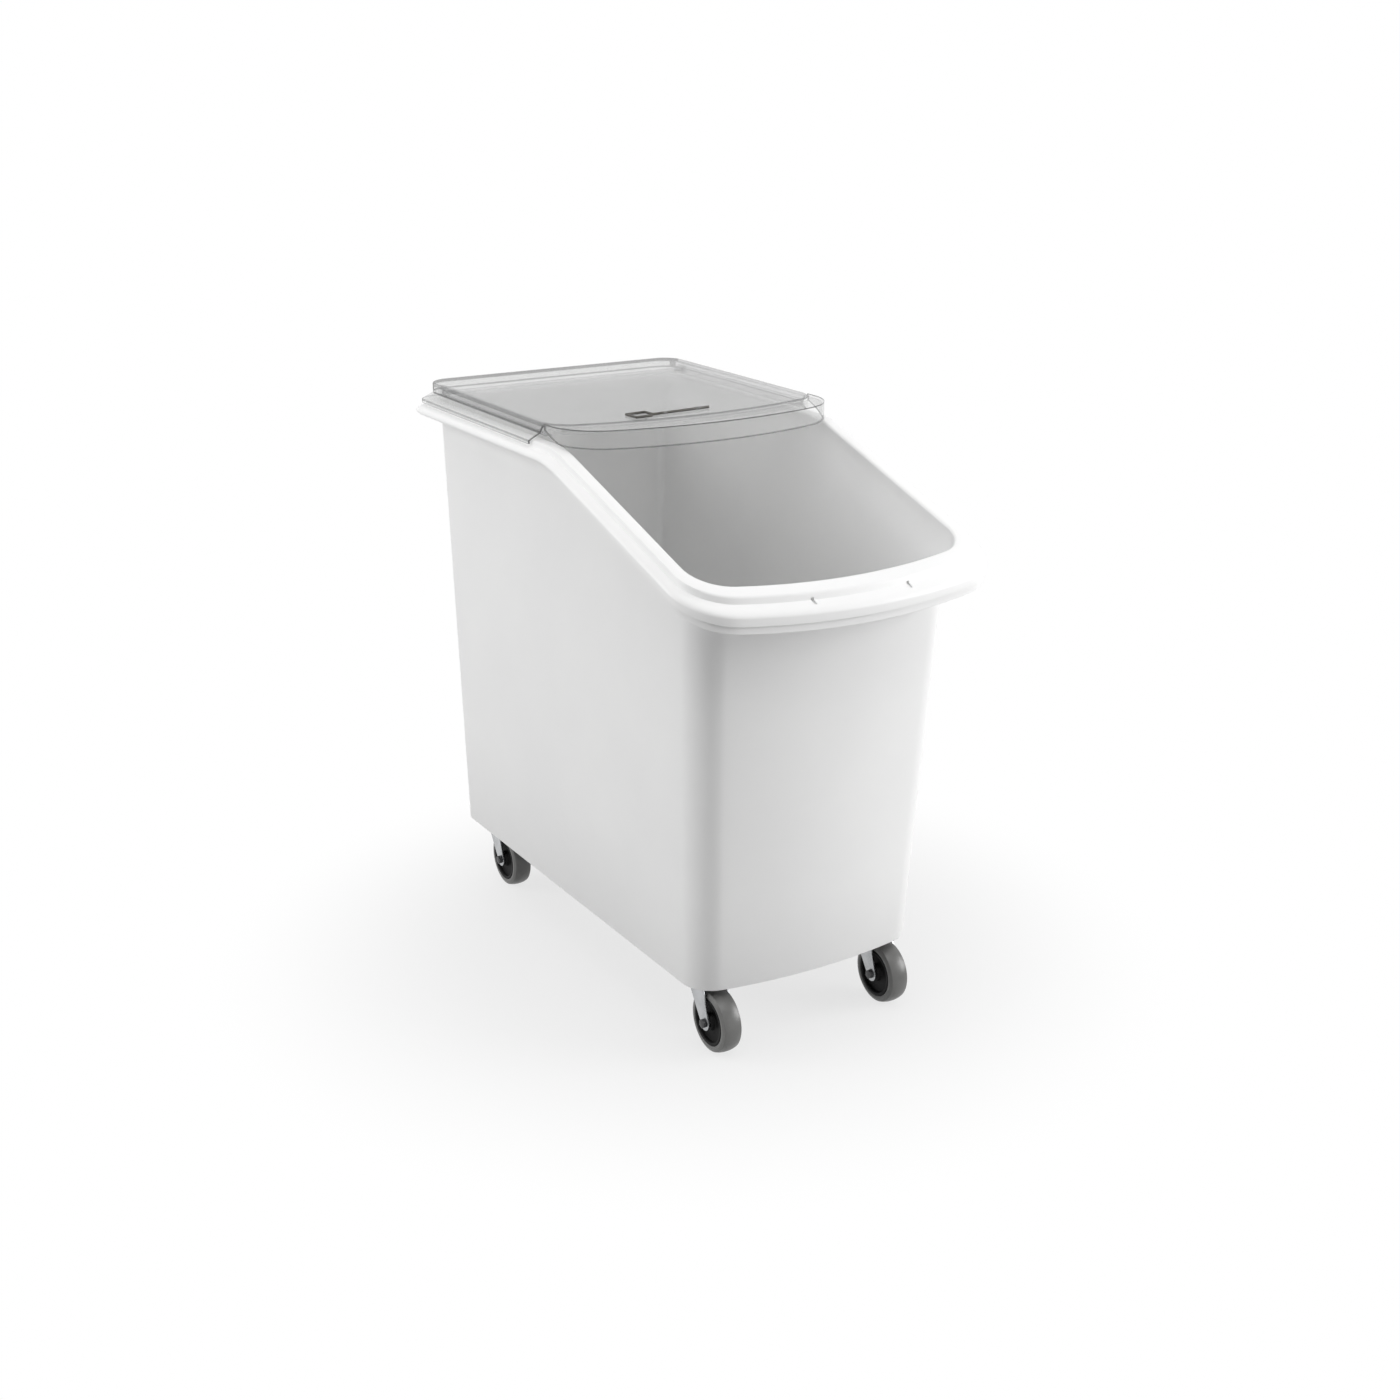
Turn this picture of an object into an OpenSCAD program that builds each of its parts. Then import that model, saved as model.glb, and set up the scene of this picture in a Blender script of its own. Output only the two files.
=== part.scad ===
// Rolling ingredient bin: slant-front tub on four swivel casters, fixed clear
// rear lid, and a clear front lid that slides out from under it and tilts down.
// Millimetres, +Z up, front toward -Y, origin on the ground under the middle.

/* [Tub rim] */
// Height of the level part of the rim
rim_h = 663; // [560:1:760]
// Angle of the sloping part of the rim, in degrees
slope_a = 17.5; // [10:0.5:25]
// Place along the length where the level and the slope would meet
bend_y = -14; // [-60:1:40]
// Radius of the bend between the level and the slope
bend_r = 175; // [80:5:260]
// Half width of the mouth
mouth_half_w = 171; // [150:1:190]
// Rear edge of the mouth
mouth_rear_y = 344; // [320:1:360]
// Radius of the mouth's rear corners
mouth_rear_r = 16; // [8:1:40]
// Front edge of the mouth, on the middle line
mouth_front_y = -327; // [-345:1:-300]
// Radius of the mouth's bowed front edge
mouth_bow_r = 645; // [450:5:1200]
// Radius of the mouth's front corners
mouth_front_r = 46; // [20:1:70]
// Half width over the rim
rim_half_w = 199; // [180:1:230]
// Rear edge of the rim
rim_rear_y = 363; // [340:1:400]
// Radius of the rim's rear corners
rim_rear_r = 27; // [15:1:60]
// Front edge of the rim, on the middle line
rim_front_y = -363; // [-400:1:-340]
// Radius of the rim's bowed front edge
rim_bow_r = 690; // [500:5:1200]
// Radius of the rim's front corners
rim_front_r = 66; // [30:1:90]
// Rounding of the mouth's edge
edge_r = 3; // [1:0.5:6]
// Depth of the step outside the ledge
step_drop = 8; // [4:0.5:12]
// Height of the roll outside the step
roll_h = 7; // [4:0.5:12]
// Depth of the rim's skirt on the level part
skirt_drop = 18; // [17:0.5:30]
// Depth that the skirt gains toward the front
skirt_gain = 15; // [0:1:25]
// Set-back of the pull strip under the skirt
strip_set = 2; // [0.5:0.5:4]
// Thickness of the rim's skirt
lip_t = 4.5; // [3:0.5:8]
// Depth where the neck starts to draw in
neck_top = 14; // [8:1:20]
// Depth where the neck meets the wall
neck_low = 30; // [20:1:60]
// Share of the rim's width that is level ledge
ledge_share = 0.55; // [0.4:0.01:0.7]
// Share of the rim's width at the foot of the step
step_share = 0.6; // [0.5:0.01:0.8]
// Share of the rim's width at the ledge's underside
under_share = 0.42; // [0.2:0.01:0.5]
// Share of the gain in depth at the line above the pull strip
strip_share = 0.5; // [0.2:0.05:0.9]
// Depth of the rim's underside at the roll
under_drop = 13.5; // [10:0.5:18]

/* [Tub walls] */
// Wall thickness
wall_t = 4; // [2.5:0.5:8]
// Half width over the walls at the top
wall_half_w = 167; // [140:1:190]
// Rear wall at the top
wall_rear_y = 347; // [320:1:360]
// Radius of the rear wall corners at the top
wall_rear_r = 14; // [8:1:40]
// Front wall at the top, on the middle line
wall_front_y = -311; // [-340:1:-280]
// Radius of the bowed front wall at the top
wall_bow_r = 670; // [450:5:1200]
// Radius of the front wall corners at the top
wall_front_r = 42; // [20:1:70]
// Half width over the walls at the bottom
base_half_w = 150.5; // [120:0.5:180]
// Rear wall at the bottom
base_rear_y = 346; // [310:1:360]
// Radius of the rear wall corners at the bottom
base_rear_r = 12; // [8:1:40]
// Front wall at the bottom, on the middle line
base_front_y = -280; // [-320:1:-240]
// Radius of the bowed front wall at the bottom
base_bow_r = 640; // [450:5:1200]
// Radius of the front wall corners at the bottom
base_front_r = 38; // [20:1:70]
// Height of the walls' bottom edge
base_z = 83; // [76:1:110]
// Height of the floor's underside
floor_z = 112; // [105:1:140]
// Floor thickness
floor_t = 4; // [3:0.5:8]
// Rounding between floor and walls
floor_r = 14; // [4:1:30]
// Radius of the caster pads
pad_r = 24; // [18:1:28]
// Half distance between the two slots in the front rim
slot_x = 61; // [30:1:100]
// Place of the slots along the length
slot_y = -347; // [-355:1:-330]
// Width of a slot
slot_w = 3.5; // [2:0.5:8]
// Length of a slot
slot_l = 12; // [6:1:16]
// Depth of a slot
slot_d = 2.5; // [1:0.5:4]

/* [Rear lid] */
// Sheet thickness of both lids
sheet_t = 2.5; // [1.5:0.1:3]
// Height of the rear lid's top above the rim
hat_h = 21.5; // [20:0.5:40]
// Half width over the rear lid's walls
hat_half_w = 181; // [179:0.5:186]
// Rear wall of the rear lid
hat_rear_y = 351; // [345:1:356]
// Radius of the rear lid's rear corners
hat_rear_r = 28; // [20:1:40]
// Front edge of the rear lid's top, on the middle line
hat_front_y = -25; // [-40:1:-10]
// Radius of the top's bowed front edge
hat_bow_r = 560; // [450:5:1200]
// Radius of the top's front corners
hat_front_r = 42; // [30:1:44]
// Rounding of the top's edge
hat_round = 2; // [0.5:0.1:2.2]
// Front end of the side walls at the top
cheek_top_y = 25; // [22:1:40]
// Front end of the side walls at the foot
cheek_foot_y = 40; // [30:1:60]
// Height of the side walls' foot above the rim
foot_h = 8.5; // [8:0.5:12]
// Half width over the flange
flange_half_w = 191.5; // [191:0.5:194]
// Rear edge of the flange
flange_rear_y = 361; // [358:0.5:362]
// Radius of the flange's rear corners
flange_rear_r = 26; // [20:1:30]
// Height of the flange's edge under the rim's level
edge_drop = 0.5; // [0:0.1:1]
// Depth of the lip below the flange's edge
lip_drop = 4; // [2:0.5:5]
// Share of the sheet's thickness that the sloped flange is lowered by inside
slope_share = 0.46; // [0.4:0.01:0.6]

/* [Lid guide] */
// Half distance over the channels
rail_half_w = 176.8; // [174:0.1:177]
// Depth of a channel across the bin
rail_w = 8; // [6:0.1:12]
// Wall of a channel
rail_t = 1.8; // [1:0.1:3]
// Front end of the channels
rail_front_y = 24; // [23:1:24]
// Rear end of the channels
rail_rear_y = 322; // [300:1:324]
// Height of a runner
runner_h = 7.4; // [5:0.1:12]
// Length of a runner
runner_l = 12; // [8:1:12]
// Sliding clearance round a runner
slide_gap = 0.3; // [0.2:0.05:0.6]
// Place of the lid's pivot with the lid stowed
pivot_y = 308; // [280:1:309]
// Distance from the rim up to the pivot
pivot_h = 11.4; // [8:0.1:16]
// Radius of a pivot pin
pin_r = 2; // [1.5:0.1:3]
// Length of a pivot pin inside the lid
pin_hold = 9; // [5:0.5:20]
// Running clearance of the pins
pin_gap = 0.05; // [0.02:0.01:0.1]

/* [Front lid] */
// Distance from the pivot to the front edge, on the middle line
lid_reach = 380; // [360:1:384]
// Half width over the front lid's wing
wing_half_w = 181; // [180:0.5:184]
// Length of the wing behind the front edge at the sides
wing_l = 94; // [80:1:95]
// Radius of the bowed front edge
wing_bow_r = 520; // [450:5:1200]
// Radius of the wing's front corners
wing_front_r = 64; // [40:1:70]
// Radius of the wing's rear corners
wing_rear_r = 1.5; // [0.5:0.5:3]
// Gap between the rear lid's front edge and the front lid
seam_gap = 0.6; // [0.4:0.1:2]
// Half width of the panel behind the wing
panel_half_w = 167; // [150:0.5:168]
// Length of the panel behind the pivot
panel_tail = 7; // [4:0.5:10]
// Radius of the ears round the pins
ear_r = 3.4; // [2.6:0.1:4]
// Rear end of the skirt at the top
skirt_top_y = 20; // [0:1:22]
// Rear end of the skirt at its foot
skirt_foot_y = -14; // [-40:1:-12]
// Distance from the pivot up to the skirt's slanted end
skirt_notch_h = 2.6; // [0:0.1:6]
// Distance from the pivot down to the skirt's foot at the sides
skirt_side_h = 10.2; // [4:0.1:10.4]
// Distance from the pivot down to the skirt's foot at the front
skirt_front_h = 12.6; // [6:0.1:13]

/* [Scoop hook] */
// Radius of the wire
wire_r = 1.5; // [1:0.1:3]
// Right end of the wire
wire_end = [27, 3];
// Place where the wire meets its loop
wire_start = [-52, -3];
// Length of the loop
loop_l = 26; // [15:1:40]
// Width of the loop
loop_w = 22; // [10:1:30]
// Share of the loop's width behind the wire
loop_share = 0.75; // [0.5:0.05:1]
// Share of the loop's length that its open side leaves out
open_share = 0.2; // [0.1:0.05:0.5]
// Size of a wire saddle along, across and up
clip_size = [5, 6, 4];
// Shares of the wire's length where the saddles sit
clip_shares = [0.2, 0.8];

/* [Casters] */
// Half distance between the casters across the bin
caster_x = 116.5; // [90:0.5:122]
// Swivel axis of the front casters
caster_front_y = -224.5; // [-235:0.5:-180]
// Swivel axis of the rear casters
caster_rear_y = 308.5; // [250:0.5:312]
// Wheel diameter
wheel_d = 75; // [60:1:75]
// Tread width
tread_w = 25; // [18:0.5:26]
// Rounding of the tread's shoulders
tread_r = 5; // [2:0.5:8]
// Distance from the swivel axis to the axle
trail = 27; // [15:0.5:32]
// Height of the mounting face
caster_h = 102; // [98:0.5:110]
// Height of the fork's crown underside
crown_z = 82; // [80:0.5:86]
// Sheet thickness of the crown
crown_t = 3; // [2:0.5:4]
// Height of the race on the crown
race_h = 4; // [3:0.5:5]
// Radius of the race on the crown
race_r = 20.5; // [18:0.5:21]
// Radius of the head
head_r = 23.5; // [22:0.5:26]
// Height of the head above its dust skirt
head_h = 10; // [8:0.5:12]
// Height of the dust skirt
dust_h = 4; // [2:0.5:4]
// Thickness of the dust skirt
dust_t = 2.2; // [1:0.1:3]
// Rounding of the head's shoulder
head_round = 4; // [1:0.5:6]
// Ball diameter
ball_d = 6; // [4:0.5:7]
// Radius of the ball circle
ball_ring_r = 14; // [12:0.5:16]
// Number of balls
ball_count = 10; // [6:1:12]
// Outer radius of the kingpin tube
king_r = 7; // [6:0.5:8]
// Radius of the kingpin's flange
king_flange_r = 10; // [9:0.5:12]
// Thickness of the kingpin's flange
king_flange_t = 3.2; // [2:0.1:4]
// Radius of the mounting bolt
bolt_r = 5; // [4:0.5:6]
// Size of the mounting bolt's head across its flats
bolt_flats = 17; // [13:0.5:19]
// Height of the mounting bolt's head
bolt_head_h = 5; // [3:0.5:6]
// Outer radius of a threaded insert
insert_r = 7.5; // [6.5:0.5:9]
// Depth of a threaded insert
insert_l = 11; // [8:0.5:11]
// Half width over the fork legs
fork_half_w = 17; // [15:0.5:20]
// Sheet thickness of the fork legs
leg_t = 2.5; // [1.5:0.1:3]
// Front edge of the fork's crown
crown_front = 20; // [14:0.5:22]
// Rear edge of the fork's crown
crown_rear = 14; // [10:0.5:18]
// Radius of the leg ends round the axle
leg_end_r = 9; // [7:0.5:12]
// Radius of the axle bolt
axle_r = 3; // [3:0.5:5]
// Size of the axle bolt's head and nut across their flats
axle_flats = 10; // [10:0.5:16]
// Height of the axle bolt's head and nut
axle_head_h = 4; // [4:0.5:7]
// Length of the axle bolt past its nut
axle_past = 1.5; // [0.5:0.5:4]
// Outer radius of the axle bush
bush_r = 6; // [5:0.5:8]
// Outer radius of the hub
hub_r = 28.5; // [18:0.5:30]
// Radius of the hub's boss
boss_r = 10; // [8:0.5:14]
// Half length of the hub's boss
boss_half_l = 13.6; // [12:0.1:14]
// Half thickness of the hub's web
web_half_t = 8; // [3:0.5:10]
// Width of the hub's rim ring
hub_ring = 4; // [2:0.5:8]
// Running clearance of the swivel and wheel bearings
run_gap = 0.06; // [0.02:0.01:0.1]
// Clearance of pieces fitted into each other
fit_gap = 0.05; // [0.02:0.01:0.1]

/* [Hidden] */
$fn = 64;

// Overrun of every cut past the face it opens
over = 1;
// Pieces per rounded corner of tub and lids, along the bend and along the bowed front
corner_n = 6;
lid_n = 10;
bend_n = 6;
bow_n = 12;
// Steps of the rounded edges and of the rim's roll, in degrees
round_step = 30;
roll_step = 22.5;
// Smallest radius of a corner set inward
least_r = 2;
// Colours
tub_white = [0.93, 0.93, 0.92];
clear_grey = [0.75, 0.78, 0.8, 0.5];
channel_white = [0.85, 0.86, 0.87];
wire_grey = [0.25, 0.25, 0.26];
zinc = [0.72, 0.73, 0.75];
brass_tone = [0.75, 0.62, 0.35];
hub_black = [0.08, 0.08, 0.08];
tyre_grey = [0.42, 0.42, 0.43];

// Plan outlines: half width, rear, rear corner, front, bow, front corner
mouth = [mouth_half_w, mouth_rear_y, mouth_rear_r, mouth_front_y, mouth_bow_r, mouth_front_r];
rim = [rim_half_w, rim_rear_y, rim_rear_r, rim_front_y, rim_bow_r, rim_front_r];
wall = [wall_half_w, wall_rear_y, wall_rear_r, wall_front_y, wall_bow_r, wall_front_r];
base = [base_half_w, base_rear_y, base_rear_r, base_front_y, base_bow_r, base_front_r];
bend_back = bend_y + bend_r * tan(slope_a / 2);
bend_front = bend_y - bend_r * tan(slope_a / 2) * cos(slope_a);
floor_top = floor_z + floor_t;
wall_rise = rim_h - base_z;
hat = [hat_half_w, hat_rear_y, hat_rear_r, hat_front_y, hat_bow_r, hat_front_r];
flange = [flange_half_w, flange_rear_y, flange_rear_r, hat_front_y, hat_bow_r, hat_front_r];
hat_z = rim_h + hat_h;
hat_under = hat_z - sheet_t;
foot_z = rim_h + foot_h;
edge_z = rim_h - edge_drop;
lip_z = edge_z - lip_drop;
slope_d = sheet_t * slope_share;
pivot_z = rim_h + pivot_h;
panel_z = pivot_z - sheet_t / 2;
rail_low = pivot_z - runner_h / 2 - slide_gap - rail_t;
rail_in = rail_half_w - rail_w;
wing_front_y = pivot_y - lid_reach;
wing_rear_y = wing_front_y + wing_l;
wing = [wing_half_w, wing_rear_y, wing_rear_r, wing_front_y, wing_bow_r, wing_front_r];
wing_in = [wing_half_w - sheet_t, wing_rear_y + over, wing_rear_r, wing_front_y + sheet_t,
    wing_bow_r - sheet_t, wing_front_r - sheet_t];
wheel_r = wheel_d / 2;
race_top = crown_z + crown_t + race_h;
head_low = caster_h - head_h;
ball_z = (race_top + head_low) / 2;
king_low = crown_z - slide_gap - king_flange_t;

function mix(a, b, k) = a + (b - a) * k;
function outset(o, d) = o + d * [1, 1, 1, -1, 1, 1];
function inset(o, d) = let (n = outset(o, -d))
    [n[0], n[1], max(n[2], least_r), n[3], n[4], max(n[5], least_r)];
function toward(a) = [cos(a), sin(a)];
function arc(c, r, a0, a1, n) = [for (i = [0:n]) c + r * toward(mix(a0, a1, i / n))];
function mirrored(p) = [for (i = [len(p) - 1:-1:0]) [-p[i][0], p[i][1]]];

// Middle of the bow, middle of a front corner, and the angle where they meet
function bow_c(o) = [0, o[3] + o[4]];
function front_c(o) = [o[0] - o[5], o[3] + o[4] - sqrt((o[4] - o[5]) ^ 2 - (o[0] - o[5]) ^ 2)];
function bow_a(o) = atan2(front_c(o)[1] - bow_c(o)[1], front_c(o)[0]);
function right_side(o, mids, n) = concat(
    arc(front_c(o), o[5], bow_a(o), 0, n),
    [for (y = mids) [o[0], y]],
    arc([o[0] - o[2], o[1] - o[2]], o[2], 0, 90, n));
function bow(o) = [for (i = [1:bow_n - 1])
    bow_c(o) + o[4] * toward(mix(-180 - bow_a(o), bow_a(o), i / bow_n))];
function outline(o, mids = [], n = lid_n) = concat(
    right_side(o, mids, n), mirrored(right_side(o, mids, n)), bow(o));

// Height of the rim over a place along the length, and the skirt's gain there
function rim_top(y) = y >= bend_back ? rim_h
    : y >= bend_front ? rim_h - bend_r + sqrt(bend_r ^ 2 - (bend_back - y) ^ 2)
    : rim_h - tan(slope_a) * (bend_y - y);
function gain(y) = skirt_gain * max(0, min(1, (bend_y - y) / (bend_y - rim_front_y)));
bend_mids = [for (i = [0:bend_n]) mix(bend_front, bend_back, i / bend_n)];
function level(o, z) = [for (p = outline(o, bend_mids, corner_n)) [p[0], p[1], z]];
function lid_level(o, z) = [for (p = outline(o)) [p[0], p[1], z]];
function under_rim(o, drop, share = 0) = [for (p = outline(o, bend_mids, corner_n))
    [p[0], p[1], rim_top(p[1]) - drop - share * gain(p[1])]];
function on_wall(z) = mix(base, wall, (z - base_z) / wall_rise);
function on_rim(share) = mix(mouth, rim, share);

// Skin through a stack of outlines, closed at both ends
module skin(rings) {
    n = len(rings[0]);
    m = len(rings);
    sides = [for (j = [0:m - 2], i = [0:n - 1])
        let (a = j * n + i, b = j * n + (i + 1) % n)
        each [[a, b, b + n], [a, b + n, a + n]]];
    first = [for (i = [1:n - 2]) [0, i + 1, i]];
    last = [for (i = [1:n - 2]) (m - 1) * n * [1, 1, 1] + [0, i, i + 1]];
    polyhedron([for (r = rings) each r], concat(sides, first, last));
}

function tub_rings() = concat(
    [for (a = [0:round_step:90]) level(inset(on_wall(floor_top), wall_t + floor_r * (1 - sin(a))),
        floor_top + floor_r * (1 - cos(a)))],
    [under_rim(inset(wall, wall_t), neck_low, 1), under_rim(mouth, neck_top, 1)],
    [for (a = [0:round_step:90]) under_rim(outset(mouth, edge_r * (1 - cos(a))), edge_r * (1 - sin(a)))],
    [under_rim(on_rim(ledge_share), 0)],
    [for (a = [0:roll_step:90])
        under_rim(on_rim(mix(step_share, 1, sin(a))), step_drop + roll_h * (1 - cos(a)))],
    [under_rim(rim, skirt_drop - strip_set, strip_share),
        under_rim(inset(rim, strip_set), skirt_drop - strip_set / 2, strip_share),
        under_rim(inset(rim, strip_set), skirt_drop, 1),
        under_rim(inset(rim, lip_t), skirt_drop, 1),
        under_rim(inset(rim, lip_t), under_drop),
        under_rim(on_rim(step_share), under_drop),
        under_rim(on_rim(under_share), wall_t),
        under_rim(outset(mouth, wall_t), wall_t),
        under_rim(outset(mouth, wall_t), neck_top, 1),
        under_rim(wall, neck_low, 1)],
    [level(base, base_z), level(inset(base, wall_t), base_z),
        level(inset(on_wall(floor_z), wall_t), floor_z)]);

module at_casters() {
    for (x = [-caster_x, caster_x], y = [caster_front_y, caster_rear_y])
        translate([x, y, 0]) children();
}

module tub() {
    color(tub_white) difference() {
        union() {
            skin(tub_rings());
            at_casters() translate([0, 0, caster_h])
                cylinder(h = floor_z - caster_h + floor_t / 2, r = pad_r);
        }
        at_casters() translate([0, 0, caster_h - over]) cylinder(h = insert_l + over, r = insert_r);
        for (x = [-slot_x, slot_x])
            translate([x, slot_y, rim_top(slot_y) - step_drop])
                rotate([slope_a, 0, 0]) translate([-slot_w / 2, -slot_l / 2, -slot_d])
                    cube([slot_w, slot_l, slot_d + over]);
    }
}

// Everything in front of the slanted ends of the side walls
module cheek_front() {
    rotate([90, 0, 90]) translate([0, 0, -rim_half_w]) linear_extrude(2 * rim_half_w)
        polygon([[cheek_foot_y, lip_z - over], [cheek_foot_y, rim_h], [cheek_top_y, hat_under],
            [rim_front_y, hat_under], [rim_front_y, lip_z - over]]);
}

module rear_lid() {
    color(clear_grey) difference() {
        skin(concat(
            [for (a = [0:round_step:90])
                lid_level(inset(hat, hat_round * (1 - sin(a))), hat_z - hat_round * (1 - cos(a)))],
            [lid_level(hat, foot_z), lid_level(flange, edge_z), lid_level(flange, lip_z),
                lid_level(inset(flange, sheet_t), lip_z),
                lid_level(inset(flange, sheet_t), edge_z - slope_d),
                lid_level(inset(hat, sheet_t), foot_z - slope_d),
                lid_level(inset(hat, sheet_t), hat_under)]));
        cheek_front();
    }
}

module rail(side) {
    rail_l = rail_rear_y - rail_front_y;
    color(channel_white) translate([side < 0 ? -rail_half_w : rail_in, rail_front_y, rail_low])
        difference() {
            cube([rail_w, rail_l, hat_under - rail_low - fit_gap]);
            translate([side < 0 ? rail_t : -over, -over, rail_t])
                cube([rail_w - rail_t + over, rail_l - rail_t + over, runner_h + 2 * slide_gap]);
        }
}

runner_w = rail_w - rail_t - 2 * slide_gap;
module runner(side) {
    color(channel_white) difference() {
        translate([side * (rail_in + slide_gap + runner_w / 2), pivot_y, pivot_z])
            cube([runner_w, runner_l, runner_h], center = true);
        translate([0, pivot_y, pivot_z]) rotate([0, 90, 0])
            cylinder(h = 2 * rail_half_w, r = pin_r + pin_gap, center = true);
    }
}

// The skirt's side view: slanted rear end, and a foot that drops toward the front
module skirt_side() {
    rotate([90, 0, 90]) translate([0, 0, -rim_half_w]) linear_extrude(2 * rim_half_w)
        polygon([[wing_front_y - over, hat_z - sheet_t / 2], [skirt_top_y, hat_z - sheet_t / 2],
            [skirt_top_y, pivot_z + skirt_notch_h], [skirt_foot_y, pivot_z - skirt_side_h],
            [wing_front_y - over, pivot_z - skirt_front_h]]);
}

module front_lid() {
    seam = outset(hat, seam_gap);
    riser = outset(seam, sheet_t);
    color(clear_grey) difference() {
        union() {
            translate([0, 0, panel_z]) linear_extrude(sheet_t) intersection() {
                polygon(outline(riser));
                translate([-panel_half_w, wing_front_y])
                    square([2 * panel_half_w, lid_reach + panel_tail]);
            }
            translate([0, 0, panel_z]) linear_extrude(hat_z - panel_z) intersection() {
                difference() {
                    polygon(outline(riser));
                    polygon(outline(seam));
                }
                translate([-panel_half_w, wing_front_y]) square([2 * panel_half_w, wing_l]);
            }
            translate([0, 0, hat_under]) linear_extrude(sheet_t) difference() {
                polygon(outline(wing));
                polygon(outline(seam));
            }
            intersection() {
                translate([0, 0, panel_z - skirt_front_h]) linear_extrude(hat_z - panel_z + skirt_front_h)
                    difference() {
                        polygon(outline(wing));
                        polygon(outline(wing_in));
                    }
                skirt_side();
            }
            for (side = [-1, 1])
                translate([side * (panel_half_w - pin_hold / 2 - fit_gap), pivot_y, pivot_z])
                    rotate([0, 90, 0]) cylinder(h = pin_hold + 2 * fit_gap, r = ear_r, center = true);
        }
        for (side = [-1, 1])
            translate([side * (panel_half_w - pin_hold / 2), pivot_y, pivot_z]) rotate([0, 90, 0])
                cylinder(h = pin_hold + over, r = pin_r + fit_gap, center = true);
    }
}

module lid_pins() {
    pin_in = panel_half_w - pin_hold;
    pin_out = rail_in + slide_gap + runner_w - pin_gap;
    color(zinc) for (side = [-1, 1])
        translate([side * (pin_in + pin_out) / 2, pivot_y, pivot_z]) rotate([0, 90, 0])
            cylinder(h = pin_out - pin_in, r = pin_r, center = true);
}

wire_z = hat_z + wire_r + fit_gap;
wire_a = atan2(wire_end[1] - wire_start[1], wire_end[0] - wire_start[0]);
wire_l = norm(wire_end - wire_start);

// One straight length of wire between two places, with rounded ends
module wire(p, q) {
    translate([p[0], p[1], 0]) rotate([0, 0, atan2(q[1] - p[1], q[0] - p[0])])
        rotate([0, 90, 0]) cylinder(h = norm(q - p), r = wire_r);
    translate([q[0], q[1], 0]) sphere(wire_r);
}

module scoop_hook() {
    loop_rear = loop_w * loop_share;
    loop_front = loop_rear - loop_w;
    loop_path = [[wire_l, 0], [0, 0], [0, loop_rear], [-loop_l, loop_rear], [-loop_l, loop_front],
        [-loop_l * open_share, loop_front]];
    color(wire_grey) translate([wire_start[0], wire_start[1], wire_z]) rotate([0, 0, wire_a]) union()
        for (i = [0:len(loop_path) - 2]) wire(loop_path[i], loop_path[i + 1]);
}

module hook_clips() {
    color(channel_white) translate([wire_start[0], wire_start[1], hat_z + fit_gap])
        rotate([0, 0, wire_a]) for (share = clip_shares) translate([share * wire_l, 0, 0]) difference() {
            translate([-clip_size[0] / 2, -clip_size[1] / 2, 0]) cube(clip_size);
            translate([0, 0, wire_r]) rotate([0, 90, 0])
                cylinder(h = clip_size[0] + over, r = wire_r + fit_gap, center = true);
            translate([-clip_size[0], -wire_r - fit_gap, -over])
                cube([2 * clip_size[0], 2 * (wire_r + fit_gap), over + wire_r]);
        }
}

module caster_inserts() {
    color(brass_tone) at_casters() translate([0, 0, caster_h + fit_gap]) difference() {
        cylinder(h = insert_l - 2 * fit_gap, r = insert_r - fit_gap);
        translate([0, 0, -over]) cylinder(h = insert_l + 2 * over, r = bolt_r + fit_gap);
    }
}

// Ring track that the balls roll in
module ball_track() {
    translate([0, 0, ball_z]) rotate_extrude() translate([ball_ring_r, 0]) circle(ball_d / 2 + fit_gap);
}

module head() {
    color(zinc) difference() {
        translate([0, 0, head_low - dust_h]) rotate_extrude() union() {
            translate([0, dust_h]) square([head_r - head_round, head_h]);
            translate([0, dust_h]) square([head_r, head_h - head_round]);
            translate([head_r - head_round, dust_h + head_h - head_round]) intersection() {
                circle(head_round);
                square(head_round);
            }
            translate([head_r - dust_t, 0]) square([dust_t, dust_h + head_h / 2]);
        }
        ball_track();
        translate([0, 0, head_low - over]) cylinder(h = head_h + 2 * over, r = king_r + fit_gap);
    }
}

module kingpin() {
    color(zinc) difference() {
        translate([0, 0, king_low]) union() {
            cylinder(h = caster_h - king_low - fit_gap, r = king_r);
            cylinder(h = king_flange_t, r = king_flange_r);
        }
        translate([0, 0, king_low - over])
            cylinder(h = caster_h - king_low + 2 * over, r = bolt_r + fit_gap);
    }
}

module hexagon(flats, h) {
    cylinder(h = h, r = flats / 2 / cos(30), $fn = 6);
}

module mount_bolt() {
    color(zinc) translate([0, 0, king_low - fit_gap - bolt_head_h]) union() {
        hexagon(bolt_flats, bolt_head_h);
        cylinder(h = bolt_head_h + caster_h + insert_l - king_low - bolt_r / 2, r = bolt_r);
    }
}

module balls() {
    color(zinc) for (i = [0:ball_count - 1])
        rotate([0, 0, i * 360 / ball_count]) translate([ball_ring_r, 0, ball_z]) sphere(ball_d / 2);
}

// Turns a piece drawn along Z so that it lies on the axle, pointing to +X
module on_axle() {
    translate([0, -trail, wheel_r]) rotate([0, 90, 0]) children();
}

module leg(side) {
    translate([side < 0 ? -fork_half_w : fork_half_w - leg_t, 0, 0]) rotate([90, 0, 90])
        linear_extrude(leg_t) union() {
            polygon([[crown_rear, crown_z + crown_t], [-crown_front, crown_z + crown_t],
                [-trail - leg_end_r, wheel_r], [leg_end_r - trail, wheel_r]]);
            translate([-trail, wheel_r]) circle(leg_end_r);
        }
}

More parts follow.
